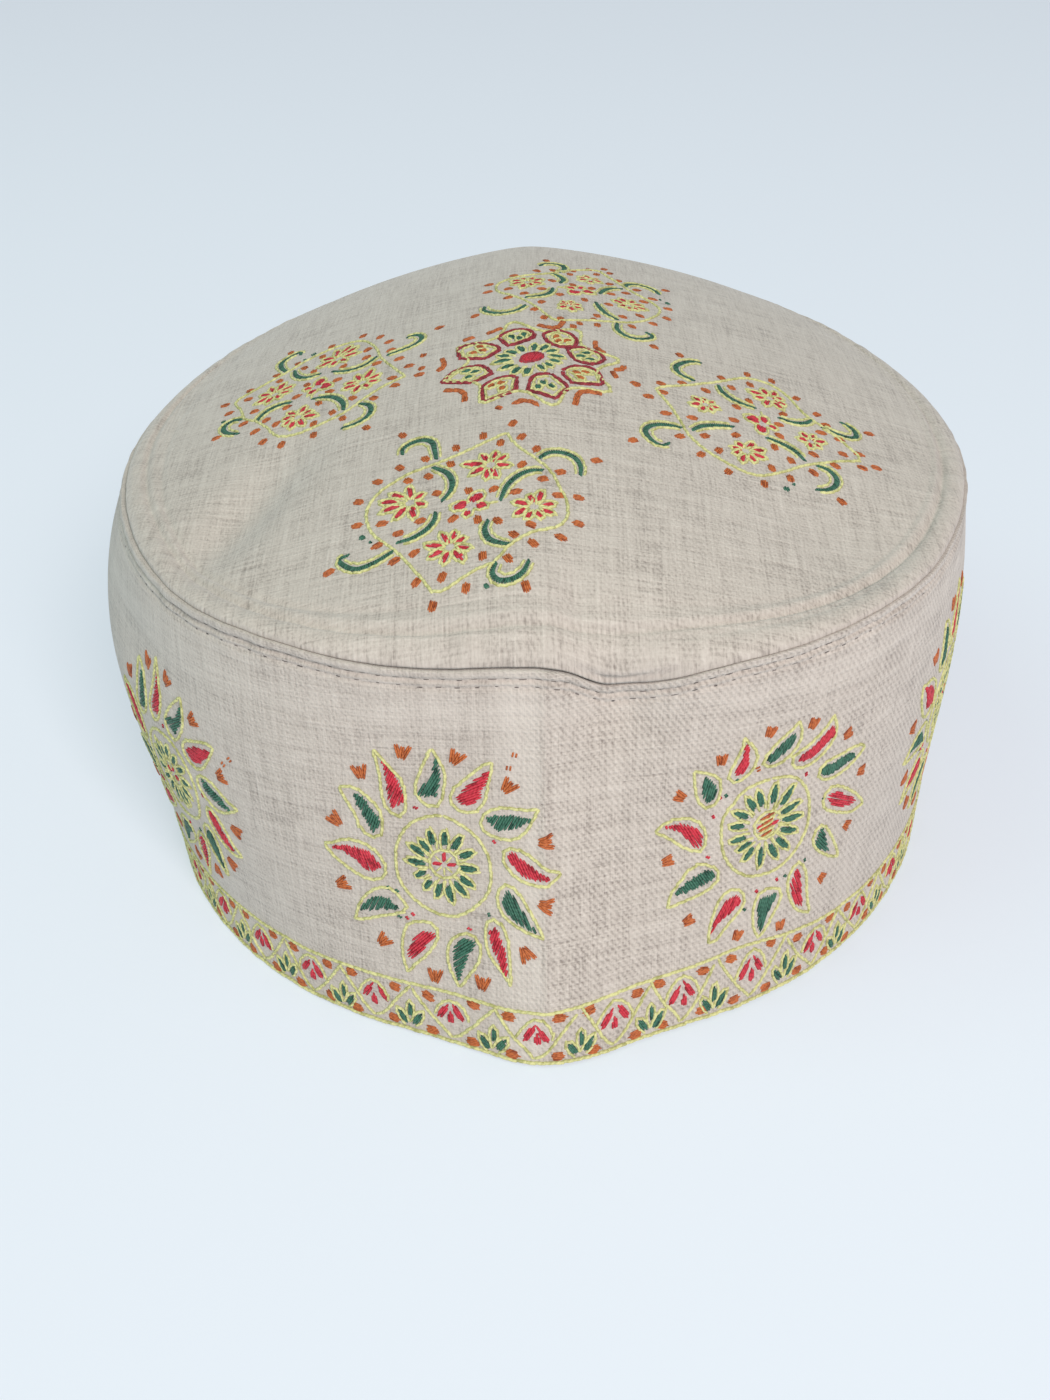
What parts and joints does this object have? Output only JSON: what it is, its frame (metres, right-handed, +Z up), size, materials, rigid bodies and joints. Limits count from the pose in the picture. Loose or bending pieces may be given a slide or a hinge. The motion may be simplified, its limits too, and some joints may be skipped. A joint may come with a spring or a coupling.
{
  "type": "kashmiri cap",
  "caption": "Soft wool cap with a domed oval crown sewn to an upright side band, open below for the head, hand embroidered all over.",
  "frame": {"origin": "under the middle of the cap, on the surface that it stands on", "axes": "+Z up out of the crown, -Y out of the front crease, +X to the right of someone who looks at the front crease"},
  "size_m": [0.1842, 0.2012, 0.1003],
  "materials": {
    "crown_wool": "fine matt greige wool, plain woven with a slubby thread, hand embroidered in silk-like thread",
    "band_wool": "fine matt greige wool in a soft diagonal twill, hand embroidered, with a row of topstitching below the seam"
  },
  "bodies": {
    "root": {"crown": "crown_wool", "side_band": "band_wool"}
  },
  "joints": []
}
